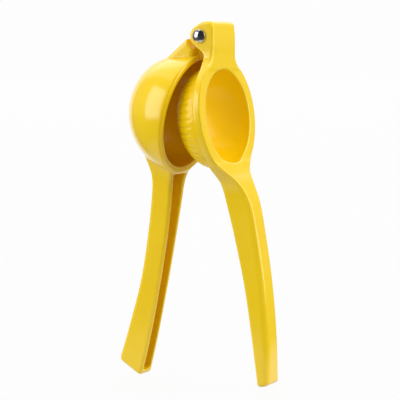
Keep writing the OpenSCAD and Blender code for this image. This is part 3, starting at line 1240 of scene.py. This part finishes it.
    def distance(self, x: Array, y: Array, z: Array) -> Array:
        """Plate, dome, fork and handle joined, less the hollow, the slot and the pin's bore.

        Args:
            x: Places towards the press side, in the lever's frame.
            y: Places across it.
            z: Places up it.

        Returns:
            Signed distance to the casting, in millimetres.
        """
        u, v = -z, x
        radius = np.hypot(u - self.plate_reach, y)
        middle, half = (self.plate_back + self.plate_front) / 2, (self.plate_front - self.plate_back) / 2
        plate = common(radius - self.plate_r, np.abs(v - middle) - half, self.plate_round)
        solid = join(plate, self.handle.distance(u, v, y), self.handle_fillet)
        fall = np.maximum(u - self.plate_fall, 0) ** 2 / (2 * self.plate_fall_r)
        solid = common(solid, v - self.plate_front - fall, self.face_round)
        solid = np.maximum(solid, self.plate_back - v)
        dome = self.dome.distance(np.hypot(u - self.dome_reach, y), v)
        dome = np.maximum(dome, v - self.plate_front + self.dome_sink)
        solid = join(solid, dome, self.dome_fillet)
        solid = join(solid, self.fork(u, v, y), self.fork_fillet)
        solid = cut(solid, self.hollow.distance(radius, v), self.hollow_lip)
        solid = cut(solid, self.slot(u, v, y), self.slot_round)
        return np.maximum(solid, self.bore_r - np.hypot(u, v))


@dataclass(frozen=True)
class Ribs:
    """The ribbed skin of the dome: ribs that start a little off the pole and end at the foot."""

    dome: Dome = Dome(30.9, 22.0, 17.0, -1.6)
    reach: float = 48.6
    count: int = 42
    height: float = 0.45
    fullness: float = 1.6
    start_r: float = 9.0
    start_over: float = 2.5
    skin: float = 1.9
    root: float = 3.8
    steps: int = 20
    rings: int = 64
    foot_rings: int = 8

    def build(self, stance: Stance, material: bpy.types.Material) -> bpy.types.Object:
        """Make the skin: a turned section whose outside is lowered between the ribs.

        The outside runs from the pole to the foot, and the inside runs back within the dome's
        wall. Between two ribs the outside is lowered by their height, times what the cosine of
        the place within the pitch lacks to 1, raised to the fullness.

        Args:
            stance: Where the press lever stands.
            material: The enamel.

        Returns:
            The finished piece.
        """
        turns = self.count * self.steps
        angle = 2 * math.pi * np.arange(turns) / turns
        share = np.linspace(0, 1, self.rings + 1)[1:]
        r, h, out_r, out_h = self.dome.section(share)
        groove = (1 - np.abs(np.cos(angle * self.count / 2))) ** self.fullness
        start = (r - self.start_r) / self.start_over
        foot = (1 - share) * self.rings / self.foot_rings
        lower = -self.height * groove * np.clip(np.minimum(start, foot), 0, 1)[:, None]
        ring_r = r[:, None] + out_r[:, None] * lower
        ring_h = h[:, None] + out_h[:, None] * lower
        foot_r, foot_h = ring_r[-1:], ring_h[-1:] + self.root
        back = np.linspace(1, 0, self.rings // 3 + 1)[:-1]
        r2, h2, out_r2, out_h2 = self.dome.section(back)
        in_r = np.repeat((r2 - out_r2 * self.skin)[:, None], turns, 1)
        in_h = np.repeat((h2 - out_h2 * self.skin)[:, None], turns, 1)
        in_h[0] += self.root
        all_r = np.concatenate([ring_r, foot_r, in_r])
        all_h = np.concatenate([ring_h, foot_h, in_h])
        y, z = all_r * np.sin(angle), all_r * np.cos(angle) - self.reach
        rings = np.stack([all_h, y, z], 2).reshape(-1, 3)
        pole = np.array([[self.dome.foot - self.dome.depth, 0, -self.reach]])
        last = pole + np.array([[self.skin, 0, 0]])
        points = np.concatenate([pole, rings, last])
        faces = turned_faces(len(all_r), turns)
        piece = build_mesh("dome_ribs", stance.place(points), faces)
        piece.data.materials.append(material)
        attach(piece, Body.PRESS.value)
        log.info("dome_ribs: %d ribs, %d points", self.count, len(points))
        return piece


@dataclass(frozen=True)
class Rivet:
    """One half of the rivet: a domed head and what runs from it along the pin.

    The side is 1 or -1, the way along Y that the head looks. The crown spans twice its half
    angle, in degrees.
    """

    name: str
    side: int
    stem_r: float
    stem_end: float
    head_r: float = 4.05
    head_h: float = 2.5
    seat: float = 15.0
    crown_half: float = 39.0
    edge: float = 0.55
    seat_round: float = 0.2
    tip_round: float = 0.25
    steps: int = 96
    arc: int = 26
    edge_arc: int = 7

    def build(self, stance: Stance, material: bpy.types.Material) -> bpy.types.Object:
        """Turn the rivet's section about the pin.

        The section is an arc of a ball from the pole, a round edge that touches it, the head's
        side and seat, then the stem to its flat end.

        Args:
            stance: Where the press lever stands.
            material: The polished metal.

        Returns:
            The finished piece.
        """
        half = math.radians(self.crown_half)
        ring = self.head_r - self.edge
        ball = ring / math.sin(half) + self.edge
        middle = self.head_h - ball + (ball - self.edge) * math.cos(half)
        spread = np.linspace(0, half, self.arc + 1)[1:]
        turn = np.linspace(half, math.pi / 2, self.edge_arc + 1)[1:]
        rim, stem, seat, tip = self.head_r, self.stem_r, self.seat_round, self.tip_round
        tail_r = np.array([rim, rim - 0.3 * seat, rim - seat, stem, stem, stem - 0.8 * tip])
        tail_h = np.array([seat, 0.3 * seat, 0, 0, tip - self.stem_end, -self.stem_end])
        radius = np.concatenate([ball * np.sin(spread), ring + self.edge * np.sin(turn), tail_r])
        crown_h = self.head_h - ball * (1 - np.cos(spread))
        height = np.concatenate([crown_h, middle + self.edge * np.cos(turn), tail_h])
        angle = 2 * math.pi * np.arange(self.steps) / self.steps
        x = radius[:, None] * np.cos(angle)
        z = -self.side * radius[:, None] * np.sin(angle)
        y = np.repeat(self.side * (self.seat + height)[:, None], self.steps, 1)
        rings = np.stack([x, y, z], 2).reshape(-1, 3)
        first = np.array([[0, self.side * (self.seat + self.head_h), 0]])
        last = np.array([[0, self.side * (self.seat - self.stem_end), 0]])
        points = np.concatenate([first, rings, last])
        piece = build_mesh(self.name, stance.place(points), turned_faces(len(radius), self.steps))
        piece.data.materials.append(material)
        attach(piece, Body.PRESS.value)
        log.info("%s: %d points", self.name, len(points))
        return piece


# ---- Studio ----


@dataclass(frozen=True)
class Softbox:
    """A soft light panel aimed at the object."""

    name: str
    azimuth: float
    elevation: float
    distance: float
    width: float
    height: float
    power: float
    target: tuple[float, float, float] = (0, 0, 0.12)

    def build(self) -> bpy.types.Object:
        """Make the panel at its azimuth, counted from -Y towards +X, facing the object.

        Returns:
            The light.
        """
        lamp = bpy.data.lights.new(self.name, "AREA")
        lamp.shape = "RECTANGLE"
        lamp.size, lamp.size_y = self.width, self.height
        lamp.energy = self.power
        light = bpy.data.objects.new(self.name, lamp)
        az, el = math.radians(self.azimuth), math.radians(self.elevation)
        away = np.array([math.sin(az) * math.cos(el), -math.cos(az) * math.cos(el), math.sin(el)])
        light.location = np.array(self.target) + self.distance * away
        light.rotation_euler = (math.pi / 2 - el, 0, az)
        bpy.context.scene.collection.objects.link(light)
        return light


@dataclass(frozen=True)
class Studio:
    """A pale floor in even white light, with soft panels and the photograph's camera.

    What a ray finds depends on what sends it. The camera sees white floor and air. Matt surfaces
    are lit by the bounce from the floor and by the air, which is darker within a sector of shade.
    Gloss mirrors a dim room with a white backdrop behind the object, the same sector of shade,
    and a floor that is bright near the object and dark far off. Angles are in degrees.
    """

    floor_r: float = 12.0
    floor_steps: int = 96
    floor_rings: int = 24
    azimuth: float = 28.153
    elevation: float = 5.0
    distance: float = 1.0
    drop: float = 0.1
    aside: float = -0.006655
    above: float = 0.001968
    lens: float = 149.5
    pale: float = 0.01
    worn: float = 0.012
    glow: float = 0.95
    bounce: float = 0.55
    near: float = 0.8
    near_r: float = 0.1
    far: float = 0.1
    far_r: float = 0.3
    seen: float = 0.985
    air: float = 0.9
    gloss: float = 0.25
    overhead: tuple[float, float] = (0.96, 0.995)
    backdrop: float = 0.95
    backdrop_half: float = 38.0
    shade: float = 0.03
    shade_share: float = 0.38
    shade_azimuth: float = 23.0
    shade_half: float = 45.0
    blur: float = 5.0
    softboxes: tuple[Softbox, ...] = (
        Softbox("left_panel", -47, 16, 1.3, 0.78, 1.15, 7.5),
        Softbox("right_panel", 105, 24, 1.4, 1.0, 1.3, 10),
        Softbox("top_panel", -140, 70, 1.4, 2.0, 2.0, 9),
    )

    def floor(self) -> bpy.types.Object:
        """Make the floor: a disc of rings that widen outwards, in one material.

        Returns:
            The floor, marked as stage.
        """
        angle = 2 * math.pi * np.arange(self.floor_steps) / self.floor_steps
        radius = self.floor_r * np.linspace(0, 1, self.floor_rings + 1)[1:, None] ** 2
        x, y = radius * np.cos(angle), radius * np.sin(angle)
        rings = np.stack([x, y, np.zeros_like(x)], 2).reshape(-1, 3)
        points = np.concatenate([np.zeros((1, 3)), rings])
        pole, quads, _ = turned_faces(self.floor_rings, self.floor_steps)
        piece = build_mesh("floor", points, [pole, quads])
        made = bpy.data.materials.new("pale_floor")
        shader = Shader(made)
        where = shader.node("ShaderNodeTexCoord", {}, {}, "Object")
        tone = shader.mix(shader.noise(where, 3, 2), self.grey(self.pale), self.grey(self.worn))
        away = shader.vector("LENGTH", where, output="Value").ramp(self.near_r, self.far_r)
        mirrored = shader.mix(away, self.grey(self.near), self.room(shader, where, self.far))
        glow = self.rays(shader, self.glow, mirrored, self.grey(self.bounce))
        surface = shader.node(
            "ShaderNodeBsdfPrincipled",
            {},
            {
                "Base Color": tone,
                "Roughness": 0.9,
                "Specular IOR Level": 0.1,
                "Emission Color": glow,
                "Emission Strength": 1.0,
            },
        )
        shader.node("ShaderNodeOutputMaterial", {}, {"Surface": surface})
        piece.data.materials.append(made)
        return piece

    @staticmethod
    def grey(tone: float) -> tuple[float, float, float, float]:
        """A grey of the given tone."""
        return (tone, tone, tone, 1)

    @staticmethod
    def sector(shader: Shader, where: Wire, azimuth: float, half: float, blur: float) -> Wire:
        """Mark a sector round the vertical.

        The level direction's cosine with the sector's middle is ramped over the blur.

        Args:
            shader: The tree to add to.
            where: The direction, or a place on the floor.
            azimuth: The sector's middle in degrees, counted from -Y towards +X.
            half: Half its width in degrees.
            blur: How far its edges are blurred to each side, in degrees.

        Returns:
            1 in the sector and 0 outside it.
        """
        level = shader.vector("NORMALIZE", shader.vector("MULTIPLY", where, (1, 1, 0)))
        aim = math.radians(azimuth)
        facing = shader.vector("DOT_PRODUCT", level, (math.sin(aim), -math.cos(aim), 0), "Value")
        return facing.ramp(math.cos(math.radians(half + blur)), math.cos(math.radians(half - blur)))

    def room(self, shader: Shader, where: Wire, tone: float) -> Wire:
        """What gloss mirrors: a dim room, white behind the object and dark behind the camera.

        Args:
            shader: The tree to add to.
            where: The direction, or a place on the floor.
            tone: Grey of the room.

        Returns:
            Its colour.
        """
        behind = self.sector(shader, where, self.azimuth + 180, self.backdrop_half, self.blur)
        dark = self.sector(shader, where, self.shade_azimuth, self.shade_half, self.blur)
        white = shader.mix(behind, self.grey(tone), self.grey(self.backdrop))
        return shader.mix(dark, white, self.grey(self.shade))

    def rays(self, shader: Shader, seen: float, mirrored: Wire, spread: Wire | tuple) -> Wire:
        """Pick the light by what looks at it.

        Args:
            shader: The tree to add to.
            seen: Grey that the camera sees.
            mirrored: Colour that glossy surfaces mirror.
            spread: Colour that lights matt surfaces.

        Returns:
            The picked colour.
        """
        glossy = shader.node("ShaderNodeLightPath", {}, {}, "Is Glossy Ray")
        light = shader.mix(glossy, spread, mirrored)
        camera = shader.node("ShaderNodeLightPath", {}, {}, "Is Camera Ray")
        return shader.mix(camera, light, self.grey(seen))

    def sky(self) -> None:
        """Light the scene evenly, and show glossy surfaces a dimmer room with a dark sector.

        Straight overhead, where the direction's height is near 1, the sectors fade away.
        """
        world = bpy.data.worlds.new("studio_air")
        bpy.context.scene.world = world
        shader = Shader(world)
        where = shader.node("ShaderNodeTexCoord", {}, {}, "Generated")
        height = shader.vector("DOT_PRODUCT", where, (0, 0, 1), "Value")
        overhead = height.ramp(self.overhead[0], self.overhead[1])
        mirrored = shader.mix(overhead, self.room(shader, where, self.gloss), self.grey(self.gloss))
        dark = self.sector(shader, where, self.shade_azimuth, self.shade_half, self.blur) * self.shade_share
        spread = shader.mix(dark, self.grey(self.air), self.grey(self.shade))
        colour = self.rays(shader, self.seen, mirrored, spread)
        surface = shader.node("ShaderNodeBackground", {}, {"Color": colour, "Strength": 1.0})
        shader.node("ShaderNodeOutputWorld", {}, {"Surface": surface})

    def camera(self, hinge: tuple[float, float, float]) -> bpy.types.Object:
        """Set up the camera at the photograph's angle.

        Args:
            hinge: The hinge's place, in metres.

        Returns:
            The camera, aimed at a drop below the hinge and shifted a little in its own picture.
        """
        az, el = math.radians(self.azimuth), math.radians(self.elevation)
        away = np.array([math.sin(az) * math.cos(el), -math.cos(az) * math.cos(el), math.sin(el)])
        right = np.array([math.cos(az), math.sin(az), 0])
        up = np.array([-math.sin(az) * math.sin(el), math.cos(az) * math.sin(el), math.cos(el)])
        aim = np.array(hinge) - np.array([0, 0, self.drop]) + self.aside * right + self.above * up
        lens = bpy.data.cameras.new("camera")
        lens.lens, lens.sensor_width = self.lens, 36
        lens.clip_start, lens.clip_end = 0.01, 50
        camera = bpy.data.objects.new("camera", lens)
        camera.location = aim + self.distance * away
        camera.rotation_euler = (math.pi / 2 - el, 0, az)
        bpy.context.scene.collection.objects.link(camera)
        bpy.context.scene.camera = camera
        return camera

    def build(self, hinge: tuple[float, float, float]) -> None:
        """Make the camera, the floor, the air and the lights.

        Args:
            hinge: The hinge's place, in metres.
        """
        self.camera(hinge)
        self.floor()
        self.sky()
        for softbox in self.softboxes:
            softbox.build()
        bpy.context.scene.view_settings.view_transform = "Standard"
        log.info("studio: %d panels", len(self.softboxes))


def main() -> None:
    """Build the squeezer's pieces in order."""
    logging.basicConfig(level=logging.INFO, format="%(name)s %(message)s")
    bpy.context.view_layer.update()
    stance = stances()
    press = stance[Body.PRESS]
    Studio().build(press.hinge)
    cast_enamel = Enamel().material("cast_enamel", bent=True)
    rib_enamel = Enamel(coat=0.6, coat_roughness=0.15).material("rib_enamel", bent=False)
    polish = Polish().material("rivet_polish")
    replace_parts(BowlLever().build(stance[Body.BOWL], cast_enamel), "bowl_lever")
    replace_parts(PressLever().build(press, cast_enamel), "press_lever")
    Ribs().build(press, rib_enamel)
    shank = Rivet("rivet_shank_head", side=-1, stem_r=2.5, stem_end=29.6)
    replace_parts(shank.build(press, polish), "rivet_shank")
    cap = Rivet("rivet_cap_head", side=1, stem_r=1.5, stem_end=14.0)
    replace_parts(cap.build(press, polish), "rivet_cap")
    bpy.context.view_layer.update()


if __name__ == "__main__":
    main()
